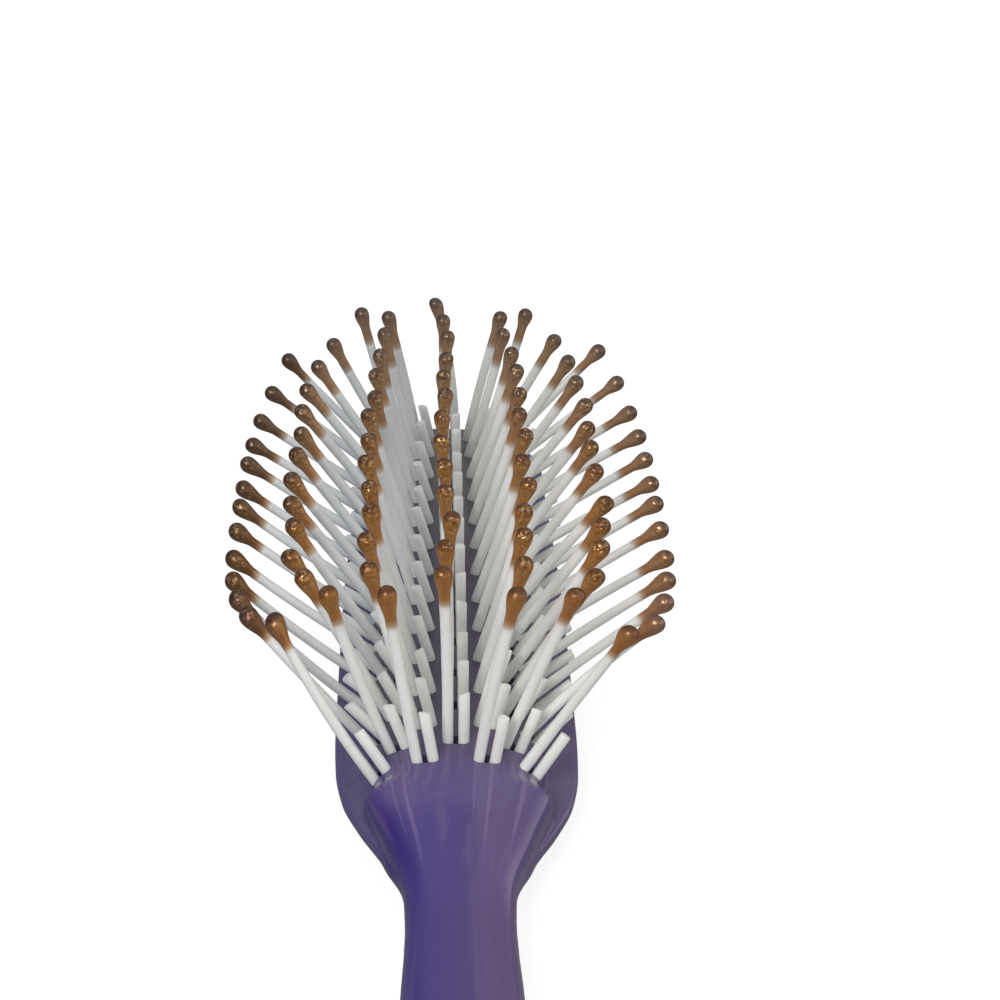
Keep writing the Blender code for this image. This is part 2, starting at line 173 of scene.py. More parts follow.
FIELD_LENGTH = (CROSS_ROWS - 0.5) * TUFT_PITCH
FIELD_MIDDLE = FIELD_LENGTH / 2
BED_START_Y = -TUFT_PITCH / 4
BED_END_Y = FIELD_LENGTH + TUFT_PITCH / 4
SHOULDER_Y = BED_START_Y - SHOULDER_LENGTH
PLATE_NOSE_START_Y = BED_END_Y - TUFT_PITCH
PLATE_NOSE_LENGTH = TUFT_PITCH + NOSE_LENGTH + PLATE_NOSE_MARGIN
WORLD_PLACE = Vector((0.0, -FIELD_MIDDLE, BACK_DEPTH))

# Fineness of the surfaces
HANDLE_END_ANGLES_DEG = (86, 80, 73, 65, 56, 46, 35, 24, 12)
HANDLE_STATIONS = 34
NECK_STATIONS = 40
BED_STATIONS = 105
BED_POINTS = 26
FILLET_POINTS = 3
PLATE_POINTS = 6
RIM_POINTS = 8
BACK_CURVE_POINTS = 12
BACK_FLAT_POINTS = 3
NOSE_SPOKES = 36
FLANGE_POINTS = FILLET_POINTS + PLATE_POINTS + RIM_POINTS
BACK_POINTS = BACK_CURVE_POINTS + BACK_FLAT_POINTS
BORE_END_POINTS = 9
STRAND_SIDES = 16
LEG_POINTS = 15
FOLD_POINTS = 9
TIP_SIDES = 24
BALL_ANGLES_DEG = (0.1, 14, 28, 42, 56, 70, 82)
DIP_SHARES = (0.0, 0.05, 0.11, 0.18, 0.26, 0.34, 0.42, 0.51, 0.62, 0.80, 1.0)
ANCHOR_BEVEL_SEGMENTS = 2
BODY_SMOOTH_DEG = 50
PIECE_SMOOTH_DEG = 40

# Camera, in the frame of the part
CAMERA_PLACE = Vector((-0.0071, -0.1907, 0.1382))
CAMERA_DOWN_DEG = 31.47
CAMERA_RIGHT_DEG = 3.70
CAMERA_ROLL_DEG = 3.23
CAMERA_LENS_MM = 64.8
CAMERA_SENSOR_MM = 36.0
CAMERA_CLIP_START = 0.01

# Softboxes, which aim at the bristles
LIGHT_AIM = Vector((0.0, 0.0, 0.015))
KEY_PLACE = Vector((-0.28, -0.52, 0.54))
KEY_SIZE = 0.30
KEY_POWER = 3.0
KEY_COLOR = (1.0, 0.99, 0.97)
RIGHT_PLACE = Vector((0.42, -0.45, 0.45))
RIGHT_SIZE = 0.20
RIGHT_POWER = 0.3
RIGHT_COLOR = (1.0, 0.98, 0.96)

# World and floor
SKY_COLORS = (
    (0.00, (0.11, 0.11, 0.12, 1.0)),
    (0.45, (0.17, 0.17, 0.18, 1.0)),
    (0.75, (0.27, 0.27, 0.28, 1.0)),
    (1.00, (0.32, 0.32, 0.33, 1.0)),
)
SKY_RIGHT_COLOR = (0.72, 0.67, 0.69, 1.0)
SKY_LEFT_COLOR = (0.12, 0.11, 0.17, 1.0)
SKY_STRENGTH = 2.0
WHITE = (1.0, 1.0, 1.0, 1.0)
BLACK = (0.0, 0.0, 0.0, 1.0)
FLOOR_COLORS = (
    (0.0, (0.29, 0.29, 0.29, 1.0)),
    (1.0, (0.31, 0.31, 0.31, 1.0)),
)
FLOOR_GLOW = 0.84
FLOOR_SIZE = 3.0
FLOOR_DROP = 0.0002

# Body plastic from left to right, bluer at the left and mauve at the right as painted reflection,
# then its painted reflection streaks, the painted sheen on its front and plate, its thin painted
# reflex lines and the painted shade on its bed under the tufts.
# Places in the materials are along the brush, across it or in height, in the frame of the part
BODY_COLORS = (
    (0.05, (0.034, 0.016, 0.162, 1.0)),
    (0.21, (0.061, 0.039, 0.206, 1.0)),
    (0.41, (0.065, 0.038, 0.198, 1.0)),
    (0.53, (0.076, 0.046, 0.182, 1.0)),
    (0.66, (0.104, 0.066, 0.194, 1.0)),
    (0.77, (0.108, 0.069, 0.196, 1.0)),
    (1.00, (0.092, 0.060, 0.172, 1.0)),
)
REFLECTION_STREAK_COLOR = (0.150, 0.112, 0.225, 1.0)
FRONT_SHEEN_COLOR = (0.118, 0.084, 0.222, 1.0)
SHELF_SHEEN_COLOR = (0.110, 0.092, 0.184, 1.0)
REFLEX_LINE_COLOR = (0.260, 0.190, 0.400, 1.0)
BED_NEAR_SHADE_COLOR = (0.078, 0.064, 0.102, 1.0)
BED_FAR_SHADE_COLOR = (0.122, 0.115, 0.108, 1.0)

# Nylon, with a darker, cooler copy for painted shade, and the dip coat down from its crown
NYLON_SHADED_COLORS = (
    (0.30, (0.73, 0.77, 0.77, 1.0)),
    (0.70, (0.80, 0.83, 0.83, 1.0)),
)
NYLON_CREAMY_COLORS = (
    (0.30, (0.88, 0.89, 0.83, 1.0)),
    (0.70, (0.93, 0.94, 0.88, 1.0)),
)
# The first stop of each dip ramp paints the crown dark, as painted shade
TIP_WARM_COLORS = (
    (0.11, (0.150, 0.060, 0.020, 1.0)),
    (0.25, (0.420, 0.190, 0.052, 1.0)),
    (0.45, (0.520, 0.236, 0.066, 1.0)),
    (0.76, (0.500, 0.216, 0.066, 1.0)),
    (0.88, (0.560, 0.400, 0.250, 1.0)),
    (1.00, (0.860, 0.870, 0.830, 1.0)),
)
TIP_COOL_COLORS = (
    (0.11, (0.120, 0.084, 0.060, 1.0)),
    (0.25, (0.370, 0.240, 0.150, 1.0)),
    (0.45, (0.480, 0.300, 0.180, 1.0)),
    (0.76, (0.460, 0.270, 0.150, 1.0)),
    (0.90, (0.540, 0.440, 0.340, 1.0)),
    (1.00, (0.860, 0.870, 0.830, 1.0)),
)
# Painted shade on the tips of the left file, far and near
TIP_FAR_PAINTED_SHADE = (0.050, 0.033, 0.020, 1.0)
TIP_NEAR_PAINTED_SHADE = (0.045, 0.022, 0.045, 1.0)
TIP_ROSY_COLOR = (0.330, 0.168, 0.150, 1.0)
# Metallic flecks, lightened as painted glints
FLECK_GLINT_COLOR = (0.85, 0.64, 0.27, 1.0)
FLECK_GLINT_STOPS = ((0.66, BLACK), (0.84, WHITE))
TIP_SPECULAR_TINT = (0.45, 0.31, 0.20, 1.0)
WIRE_COLORS = (
    (0.3, (0.36, 0.36, 0.35, 1.0)),
    (0.7, (0.55, 0.55, 0.53, 1.0)),
)

tuft_numbers = random.Random(TUFT_SEED)
lean_numbers = random.Random(LEAN_SEED)


def through(stations, y):
    """Value at y of a smooth curve through (y, value) stations that never overshoots them."""
    if y <= stations[0][0]:
        return stations[0][1]
    if y >= stations[-1][0]:
        return stations[-1][1]
    steps = [(b[1] - a[1]) / (b[0] - a[0]) for a, b in zip(stations, stations[1:])]
    slopes = [0.0]
    for left, right in zip(steps, steps[1:]):
        slopes.append(2 * left * right / (left + right) if left * right > 0 else 0.0)
    slopes.append(0.0)
    for index, (start, end) in enumerate(zip(stations, stations[1:])):
        if start[0] <= y <= end[0]:
            span = end[0] - start[0]
            t = (y - start[0]) / span
            rise = 3 * t**2 - 2 * t**3
            bend_in = t * (1 - t)**2 * span * slopes[index]
            bend_out = t**2 * (t - 1) * span * slopes[index + 1]
            return start[1] + (end[1] - start[1]) * rise + bend_in + bend_out
    return stations[-1][1]


def spread(start, end, count):
    """Evenly spaced values from start to end, both included."""
    return [start + (end - start) * index / (count - 1) for index in range(count)]


def field_share(y):
    """Place along the bristle field: -1 at its handle end, 1 at its nose end."""
    return max(-1.0, min(1.0, (y - FIELD_MIDDLE) / FIELD_MIDDLE))


def nose_fall(y):
    """How far the bed's ridge has fallen over the last rows before the nose."""
    return NOSE_FALL * (max(0.0, y - NOSE_FALL_START_Y) / (BED_END_Y - NOSE_FALL_START_Y))**2


def bow_depth(y):
    """Depth of the bed's ridge at y: a slight bow to both ends, then the fall to the nose."""
    return BED_BOW * field_share(y)**2 + nose_fall(y)


def file_side(number):
    """Which offset a file has, and on which side of the middle plane."""
    side = number - len(FILE_OFFSETS) + 1
    return abs(side), (side > 0) - (side < 0)


def file_x(number, y):
    """Place of a file's hole centres across the bed at y; the field stands a little to the left."""
    offset, sign = file_side(number)
    return FIELD_SHIFT + sign * FILE_OFFSETS[offset] * (1 - FILE_DRAW_IN * field_share(y)**2)


def file_splay(number, y):
    """Angle of a file's legs from straight up, to the right."""
    offset, sign = file_side(number)
    kept = 1 - END_SPLAY_LOSS[offset] * abs(field_share(y))**SPLAY_LOSS_POWER
    return math.radians(sign * FILE_SPLAYS_DEG[offset] * kept + LEG_SET_DEG)


def bed_half_width(y):
    """Half of the bed's width beside the bristles."""
    return file_x(FILES - 1, y) - FIELD_SHIFT + BED_MARGIN


def bed_top(x, y):
    """Height of the half-round bed's surface."""
    share = min(1.0, abs(x) / spine_half_width(y))
    power = spine_power(y)
    return -BED_CROWN + (BED_CROWN - bow_depth(y)) * (1 - share**power)**(1 / power)


def spine_half_width(y):
    """Half-width of the handle, neck and bed at y."""
    first_row_end = TUFT_PITCH / 2
    stations = (
        (HANDLE_END_Y, HANDLE_END_HALF_WIDTH),
        (GRIP_Y, GRIP_HALF_WIDTH),
        (HANDLE_START_Y, HANDLE_START_HALF_WIDTH),
        (NECK_Y, NECK_HALF_WIDTH),
        (TONGUE_START_Y, TONGUE_START_HALF_WIDTH),
        (TONGUE_MIDDLE_Y, TONGUE_MIDDLE_HALF_WIDTH),
        (SHOULDER_Y - SHOULDER_CORNER, SHOULDER_HALF_WIDTH - SHOULDER_CORNER_CUT),
        (SHOULDER_Y, SHOULDER_HALF_WIDTH),
        (BED_START_Y, WAIST_HALF_WIDTH),
        (first_row_end, bed_half_width(first_row_end)),
    )
    return through(stations, y) if y < first_row_end else bed_half_width(y)


def spine_top_depth(y):
    """Depth of the top line below the bed's ridge at y."""
    stations = (
        (HANDLE_END_Y, HANDLE_END_TOP_DEPTH),
        (GRIP_Y, GRIP_TOP_DEPTH),
        (NECK_Y, NECK_TOP_DEPTH),
        (BED_START_Y, BED_BOW),
    )
    return through(stations, y) if y < BED_START_Y else bow_depth(y)


def spine_bottom_depth(y):
    """Depth of the underside of the handle and neck."""
    stations = (
        (HANDLE_END_Y, HANDLE_END_BOTTOM_DEPTH),
        (GRIP_Y, BACK_DEPTH),
        (NECK_Y, NECK_BOTTOM_DEPTH),
        (0.0, (BACK_DEPTH + NECK_BOTTOM_DEPTH) / 2),
    )
    return through(stations, y)


def plate_nose_share(y):
    """How much of the plate's height is left at y, from 1 along its sides to 0 at its tip."""
    reach = max(0.0, (y - PLATE_NOSE_START_Y) / PLATE_NOSE_LENGTH)
    return math.sqrt(max(0.0, 1 - reach**2))


def plate_half_width(y):
    """Half-width of the plate at y."""
    neck = NECK_HALF_WIDTH
    swell = PLATE_HALF_WIDTH - neck
    stations = (
        (PLATE_START_Y, neck + NECK_COVER),
        (PLATE_FLANK_Y, neck + PLATE_FLANK_SWELL * swell),
        (PLATE_SHOULDER_Y, neck + PLATE_SHOULDER_SWELL * swell),
        (PLATE_BED_START_Y, neck + PLATE_BED_START_SWELL * swell),
        (PLATE_FIRST_TUFTS_Y, neck + PLATE_FIRST_TUFTS_SWELL * swell),
        (PLATE_FULL_Y, neck + PLATE_FULL_SWELL * swell),
        (FIELD_MIDDLE, PLATE_HALF_WIDTH),
        (PLATE_NOSE_START_Y, neck + PLATE_NOSE_SWELL * swell),
    )
    return through(stations, y) * plate_nose_share(y)**PLATE_NOSE_FULLNESS


def plate_back_depth(y):
    """Depth of the plate's back at y, flat along the head and rising at both ends."""
    stations = (
        (PLATE_START_Y, PLATE_START_BACK_DEPTH),
        (BACK_FLAT_START_Y, BACK_DEPTH),
        (BED_END_Y - NOSE_RISE_LENGTH, BACK_DEPTH),
        (BED_END_Y + NOSE_LENGTH, BACK_DEPTH - NOSE_RISE),
    )
    return through(stations, y)


def quarter(power, angle):
    """Point on a quarter of a unit superellipse: angle 0 is its top, a quarter turn its side."""
    out = max(0.0, math.sin(angle))**(2 / power)
    up = max(0.0, math.cos(angle))**(2 / power)
    return out, up


def spine_power(y):
    """Fullness of the upper cross-section: round at the handle and bed, flat at the shoulder."""
    stations = (
        (NECK_Y, HANDLE_POWER),
        (SHOULDER_Y, SHOULDER_POWER),
        (BED_START_Y, BED_START_POWER),
        (TUFT_PITCH, BED_POWER),
    )
    return through(stations, y)


def spine_outline(y, width_share=1.0):
    """Half outline of the handle or neck, from its top middle round its side to below."""
    half_width = spine_half_width(y) * width_share
    blend = through(((NECK_Y, 0.0), (SHOULDER_Y, 1.0)), y)
    top, bottom = -spine_top_depth(y), -spine_bottom_depth(y)
    middle = (1 - blend) * (top + bottom) / 2 - blend * BED_CROWN
    rise = (top - middle) * math.sqrt(width_share)
    fall = (bottom - middle) * math.sqrt(width_share)
    side_start = math.radians(SPINE_SIDE_START_DEG)
    side_end = math.pi - side_start
    angles = spread(0.0, side_start, BED_POINTS + 1)
    angles += spread(side_start, side_end, FLANGE_POINTS + 2)[1:-1]
    angles += spread(side_end, math.pi, BACK_POINTS + 1)
    points = []
    for angle in angles:
        if angle <= math.pi / 2:
            out, up = quarter(spine_power(y), angle)
            points.append(Vector((half_width * out, y, middle + rise * up)))
        else:
            out, up = quarter(HANDLE_POWER, math.pi - angle)
            points.append(Vector((half_width * out, y, middle + fall * up)))
    return points


def head_outline(pole_y, foot, rim, height_share, side=1):
    """Half outline over the bed, out to the plate's rim and back under it to the middle.

    foot and rim are the plan places of the bed's foot and the plate's rim on this outline."""
    pole = Vector((0.0, pole_y))
    reach = (rim - pole).length
    crown = BED_CROWN - spine_top_depth(pole_y)
    room = reach - (foot - pole).length
    fillet = min(FOOT_FILLET, FOOT_FILLET_SHARE * room)
    half_rim = PLATE_RIM_THICKNESS / 2
    rim_rounding = min(half_rim, RIM_SHARE * room)
    rim_share = 1 - rim_rounding / reach
    foot_share = 1 - room / reach
    outward = (rim - pole) / reach
    rise = PLATE_RISE * height_share

    def plate_top(share):
        return -PLATE_RIM_DEPTH + half_rim + rise * (1 - share**2)

    power = spine_power(pole_y)
    foot_top = plate_top(foot_share) + fillet
    foot_angle = math.acos(((foot_top + BED_CROWN) / crown)**(power / 2))
    points = []
    for angle in spread(0.0, foot_angle, BED_POINTS + 1):
        out, up = quarter(power, angle)
        plan = pole.lerp(foot, out)
        points.append((plan, -BED_CROWN + crown * up))
    edge = points[-1][0]
    outer = foot + outward * fillet
    for t in spread(0.0, 1.0, FILLET_POINTS + 1)[1:]:
        plan = edge * (1 - t)**2 + foot * 2 * t * (1 - t) + outer * t**2
        height = foot_top * (1 - t)**2 + plate_top(foot_share) * (1 - (1 - t)**2)
        points.append((plan, height))
    start_share = (outer - pole).length / reach
    start_place = (outer - pole) / (outer - pole).length * start_share
    for t in spread(0.0, 1.0, PLATE_POINTS + 1)[1:]:
        share = start_share + (rim_share - start_share) * t
        plan = pole + start_place.lerp(outward * rim_share, t) * reach
        points.append((plan, plate_top(share)))
    top_arc = plate_top(rim_share) + PLATE_RIM_DEPTH
    for angle in spread(math.pi / 2, -math.pi / 2, RIM_POINTS + 1)[1:]:
        plan = pole + outward * (reach * rim_share + rim_rounding * math.cos(angle))
        arc = top_arc if angle > 0 else half_rim
        points.append((plan, -PLATE_RIM_DEPTH + arc * math.sin(angle)))
    under = -PLATE_RIM_DEPTH - half_rim
    back = (plate_back_depth(pole_y) + under) * height_share
    for t in spread(0.0, 1.0, BACK_CURVE_POINTS + 1)[1:]:
        share = rim_share + (BACK_FLAT_SHARE - rim_share) * t
        curve = ((share - BACK_FLAT_SHARE) / (rim_share - BACK_FLAT_SHARE))**BACK_CURVE_POWER
        points.append((pole + outward * reach * share, under - back * (1 - curve)))
    for t in spread(BACK_FLAT_SHARE, 0.0, BACK_FLAT_POINTS + 1):
        points.append((pole + outward * reach * t, under - back))
    return [Vector((side * plan.x, plan.y, height)) for plan, height in points]


def body_half(y):
    """Right half outline of the body at y: spine only at the handle, bed and plate at the head."""
    spine = spine_outline(y)
    if y <= PLATE_START_Y:
        return spine
    plate = max(plate_half_width(y), spine_half_width(y) + LEAST_FLANGE)
    foot = Vector((spine_half_width(y), y))
    head = head_outline(y, foot, Vector((plate, y)), plate_nose_share(y))
    lip = through(((PLATE_START_Y, 0.0), (PLATE_FLANK_Y, 1.0)), y)
    back = through(((PLATE_START_Y, 0.0), (BACK_FLAT_START_Y, 1.0)), y)
    points = []
    for index, (from_spine, from_head) in enumerate(zip(spine, head)):
        share = lip if index <= BED_POINTS + FLANGE_POINTS else back
        points.append(from_spine.lerp(from_head, share))
    return points


def nose_spokes():
    """Half outlines that fan round the nose from its right side to its left."""
    pole = Vector((0.0, BED_END_Y))
    bed_width = spine_half_width(BED_END_Y)
    start_angle = math.asin(TUFT_PITCH / PLATE_NOSE_LENGTH)
    plate_width = plate_half_width(PLATE_NOSE_START_Y)
    spokes = []
    for step in range(1, NOSE_SPOKES):
        turn = math.pi * step / NOSE_SPOKES
        side = 1 if turn <= math.pi / 2 else -1
        bed_angle = turn if side == 1 else math.pi - turn
        rim_angle = start_angle + (math.pi / 2 - start_angle) * bed_angle / (math.pi / 2)
        foot_x = bed_width * max(0.0, math.cos(bed_angle))**BED_NOSE_FULLNESS
        rim_x = plate_width * max(0.0, math.cos(rim_angle))**PLATE_NOSE_FULLNESS
        foot = pole + Vector((foot_x, NOSE_LENGTH * math.sin(bed_angle)))
        rim = Vector((rim_x, PLATE_NOSE_START_Y + PLATE_NOSE_LENGTH * math.sin(rim_angle)))
        spokes.append(head_outline(BED_END_Y, foot, rim, plate_nose_share(BED_END_Y), side))
    return spokes


def body_stations():
    """Places along the body at which it has a full ring, from the handle's end to the nose."""
    first = HANDLE_END_Y + HANDLE_END_ROUNDING
    stations = spread(first, NECK_Y, HANDLE_STATIONS)
    stations += spread(NECK_Y, BED_START_Y, NECK_STATIONS)[1:]
    stations += spread(BED_START_Y, BED_END_Y, BED_STATIONS)[1:]
    return stations


def body_mesh():
    """The moulding's whole skin, as rings from the handle to the nose and a fan round the nose."""
    skin = bmesh.new()
    halves = []
    for angle_deg in HANDLE_END_ANGLES_DEG:
        angle = math.radians(angle_deg)
        y = HANDLE_END_Y + HANDLE_END_ROUNDING * (1 - math.sin(angle))
        halves.append(spine_outline(y, math.cos(angle)**HANDLE_END_FULLNESS))
    halves += [body_half(y) for y in body_stations()]
    rings = []
    for half in halves:
        right = [skin.verts.new(point) for point in half]
        mirrored = [Vector((-point.x, point.y, point.z)) for point in half[1:-1]]
        left = [right[0]] + [skin.verts.new(point) for point in mirrored] + [right[-1]]
        rings.append((right, left))
    for (right, left), (next_right, next_left) in zip(rings, rings[1:]):
        for here, ahead in ((right, next_right), (left, next_left)):
            for index in range(len(here) - 1):
                skin.faces.new((here[index], here[index + 1], ahead[index + 1], ahead[index]))
    first_right, first_left = rings[0]
    skin.faces.new(first_right + first_left[-2:0:-1])
    last_right, last_left = rings[-1]
    spokes = [last_right]
    for half in nose_spokes():
        middle = [skin.verts.new(point) for point in half[1:-1]]
        spokes.append([last_right[0]] + middle + [last_right[-1]])
    spokes.append(last_left)
    for here, ahead in zip(spokes, spokes[1:]):
        for index in range(len(here) - 1):
            corners = [here[index], here[index + 1], ahead[index + 1], ahead[index]]
            unique = [corner for place, corner in enumerate(corners) if corner not in corners[:place]]
            skin.faces.new(unique)
    bmesh.ops.recalc_face_normals(skin, faces=skin.faces)
    return skin


def tuft_y(row, number):
    """Place of a tuft along the bed; every second file stands half a pitch further on."""
    stagger = 0.5 if number % 2 else 0.0
    return (row + stagger) * TUFT_PITCH


def tuft_frame(row, number):
    """Hole centre on the bed, and the directions across the two legs, lengthwise and along them."""
    y = tuft_y(row, number)
    x = file_x(number, y)
    splay = file_splay(number, y)
    hole = Vector((x, y, bed_top(x, y)))
    across = Vector((math.cos(splay), 0.0, -math.sin(splay)))
    along = Vector((math.sin(splay), -END_LEAN * field_share(y), math.cos(splay))).normalized()
    forward = along.cross(across).normalized()
    return hole, across, forward, along


def link_object(name, data):
    """A new object in the scene."""
    obj = bpy.data.objects.new(name, data)
    bpy.context.scene.collection.objects.link(obj)
    return obj


def add_object(name, skin, material):
    """Link a bmesh as a named piece of the brush."""
    mesh = bpy.data.meshes.new(name)
    skin.to_mesh(mesh)
    skin.free()
    mesh.materials.append(material)
    mesh.shade_smooth()
    mesh.set_sharp_from_angle(angle=math.radians(PIECE_SMOOTH_DEG))
    mesh.transform(Matrix.Translation(WORLD_PLACE))
    return link_object(name, mesh)


def apply_modifiers(piece):
    """Keep a piece's evaluated mesh and drop its modifiers."""
    depsgraph = bpy.context.evaluated_depsgraph_get()
    mesh = bpy.data.meshes.new_from_object(piece.evaluated_get(depsgraph))
    piece.modifiers.clear()
    piece.data = mesh


def bridge(skin, loops):
    """Faces between rings of equally many points, and over both ends."""
    for lower, upper in zip(loops, loops[1:]):
        for index in range(len(lower)):
            after = (index + 1) % len(lower)
            skin.faces.new((lower[index], lower[after], upper[after], upper[index]))
    skin.faces.new(reversed(loops[0]))
    skin.faces.new(loops[-1])


def hole_cutters():
    """One oblong bore for each tuft, as wide as its two legs."""
    skin = bmesh.new()
    radius = STRAND_RADIUS + HOLE_CLEARANCE
    reach = LEG_SPACING / 2
    depth = FOLD_DEPTH + reach + STRAND_RADIUS + 3 * HOLE_CLEARANCE
    for row in range(CROSS_ROWS):
        for number in range(FILES):
            hole, across, forward, along = tuft_frame(row, number)
            loops = []
            for level in (-depth, 2 * STRAND_RADIUS + reach):
                loop = []
                for side in (1, -1):
                    for angle in spread(-math.pi / 2, math.pi / 2, BORE_END_POINTS):
                        out = side * (reach + radius * math.cos(angle))
                        ahead = side * radius * math.sin(angle)
                        place = hole + across * out + forward * ahead + along * level
                        loop.append(skin.verts.new(place))
                loops.append(loop)
            bridge(skin, loops)
    bmesh.ops.recalc_face_normals(skin, faces=skin.faces)
    return skin


def build_body(material):
    """The moulded body, with its tuft holes."""
    body = add_object("body_moulding", body_mesh(), material)
    cutter = add_object("hole_cutters", hole_cutters(), material)
    cut = body.modifiers.new("tuft_holes", "BOOLEAN")
    cut.operation = "DIFFERENCE"
    cut.solver = "EXACT"
    cut.object = cutter
    apply_modifiers(body)
    bpy.data.objects.remove(cutter, do_unlink=True)
    body.data.set_sharp_from_angle(angle=math.radians(BODY_SMOOTH_DEG))
    return body


def add_strand(skin, places, radii, across):
    """A round strand through places, with flat ends; across sets where its first side lies."""
    loops = []
    for index, place in enumerate(places):
        before = places[max(0, index - 1)]
        after = places[min(len(places) - 1, index + 1)]
        along = (after - before).normalized()
        forward = along.cross(across).normalized()
        sideways = forward.cross(along).normalized()
        loop = []
        for side in range(STRAND_SIDES):
            angle = 2 * math.pi * side / STRAND_SIDES
            offset = sideways * math.cos(angle) + forward * math.sin(angle)
            loop.append(skin.verts.new(place + offset * radii[index]))
        loops.append(loop)
    bridge(skin, loops)
    return loops


def short_place(tuft, distance):
    """Point on the short leg's line at a distance above the bed."""
    return tuft["hole"] + tuft["to_short"] + tuft["along"] * distance


def long_place(tuft, distance):
    """Point on the long leg at a distance above the bed, bowed and leaning as that leg is."""
    share = max(0.0, distance) / tuft["long_leg"]
    bow = tuft["bend"] * share * (1 - share)
    lean = tuft["lean"] * tuft["long_leg"] * share**2
    return tuft["hole"] - tuft["to_short"] + tuft["along"] * distance + bow + lean


def long_radius(tuft, distance):
    """Radius of the long leg at a distance above the bed; the outermost ones get slimmer."""
    return STRAND_RADIUS * (1 - tuft["slimming"] * distance / tuft["long_leg"])


def strand_skin(tufts):
    """All folded strands of one cross row."""
    skin = bmesh.new()
    for tuft in tufts:
        along = tuft["along"]
        distances = spread(tuft["long_leg"], 0.0, LEG_POINTS)
        places = [long_place(tuft, distance) for distance in distances]
        places.append(long_place(tuft, -FOLD_DEPTH / 2))
        fold = tuft["hole"] - along * FOLD_DEPTH
        half = LEG_SPACING / 2
        for angle in spread(math.pi, 2 * math.pi, FOLD_POINTS):
            out = tuft["to_short"] * math.cos(angle)
            places.append(fold + out + along * half * math.sin(angle))
        top = tuft["short_leg"]
        for distance in (-FOLD_DEPTH / 2, 0.0, top / 2, top - CUT_BEVEL, top):
            places.append(short_place(tuft, distance))
        radii = [long_radius(tuft, distance) for distance in distances]
        radii += [STRAND_RADIUS] * (len(places) - len(radii) - 1)
        radii.append(STRAND_RADIUS - CUT_BEVEL / 2)
        loops = add_strand(skin, places, radii, tuft["across"])
        for loop in loops[-2:]:
            for vert in loop:
                vert.co += along * (vert.co - places[-1]).dot(tuft["cut"])
    bmesh.ops.recalc_face_normals(skin, faces=skin.faces)
    return skin


def tip_profile(tuft):
    """(distance above the ball's centre, radius) down a dipped tip."""
    ball = tuft["ball"]
    profile = []
    for angle_deg in BALL_ANGLES_DEG:
        angle = math.radians(angle_deg)
        profile.append((ball * math.cos(angle), ball * math.sin(angle)))
    end_radius = long_radius(tuft, tuft["long_leg"] - tuft["dip"]) + DIP_COVER
    for share in DIP_SHARES:
        distance = tuft["dip"] * share
        fall = min(1.0, distance / tuft["drop"])
        swell = (ball - end_radius) * (1 + math.cos(math.pi * fall)) / 2
        profile.append((-distance, end_radius + swell))
    return profile


def tip_skin(tufts):
    """The dipped ball tips of one cross row, with how far each point lies down its dip."""
    skin = bmesh.new()
    down = skin.verts.layers.float.new("dip")
    for tuft in tufts:
        length = tuft["long_leg"]
        centre = long_place(tuft, length)
        upward = (centre - long_place(tuft, length - tuft["ball"])).normalized()
        loops = []
        for distance, radius in tip_profile(tuft):
            ring_centre = centre + upward * distance
            if distance < 0:
                ring_centre = long_place(tuft, length + distance)
            loop = []
            for side in range(TIP_SIDES):
                angle = 2 * math.pi * side / TIP_SIDES
                offset = tuft["across"] * math.cos(angle) + tuft["forward"] * math.sin(angle)
                vert = skin.verts.new(ring_centre + offset * radius)
                vert[down] = (tuft["ball"] - distance) / (tuft["ball"] + tuft["dip"])
                loop.append(vert)
            loops.append(loop)
        bridge(skin, loops)
    bmesh.ops.recalc_face_normals(skin, faces=skin.faces)
    return skin


def anchor_skin(tufts):
    """The flat metal anchors of one cross row, each across the fold of its strand."""
    skin = bmesh.new()
    for tuft in tufts:
        centre = tuft["hole"] - tuft["along"] * (FOLD_DEPTH + ANCHOR_HEIGHT / 2 - ANCHOR_SINK)
        result = bmesh.ops.create_cube(skin, size=1.0)
        axes = (tuft["across"], tuft["forward"], tuft["along"])
        turn = Matrix(axes).transposed().to_4x4()
        size = Matrix.Diagonal((ANCHOR_THICKNESS, ANCHOR_WIDTH, ANCHOR_HEIGHT, 1.0))
        place = Matrix.Translation(centre) @ turn @ size
        bmesh.ops.transform(skin, matrix=place, verts=result["verts"])
    bmesh.ops.bevel(
        skin,
        geom=skin.edges[:],
        offset=ANCHOR_BEVEL,
        segments=ANCHOR_BEVEL_SEGMENTS,
        affect="EDGES",
        profile=0.5,
    )
    bmesh.ops.recalc_face_normals(skin, faces=skin.faces)
    return skin


def ball_radius(row, number):
    """Radius of a dipped ball, smaller in the middle files and towards the nose."""
    middle = (FILES - 1) / 2
    inward = 1 - abs(number - middle) / middle
    return BALL_RADIUS * (1 - MIDDLE_BALL_LOSS * inward) * (1 - BALL_SHRINK * row / (CROSS_ROWS - 1))


def leg_lean(row, number):
    """Lean of a long leg to the right and towards the nose, in degrees, slightly irregular."""
    forward_deg = FILE_LEANS_DEG[number] * (1 - row / (CROSS_ROWS - 1))
    forward_deg += lean_numbers.uniform(-LEAN_SPREAD_DEG, LEAN_SPREAD_DEG)
    if (row, number) in TURNED_TUFTS:
        return TURNED_LEAN_DEG, forward_deg
    if number in (0, FILES - 1):
        return 0.0, forward_deg
    return lean_numbers.uniform(-LEAN_SPREAD_DEG, LEAN_SPREAD_DEG), forward_deg


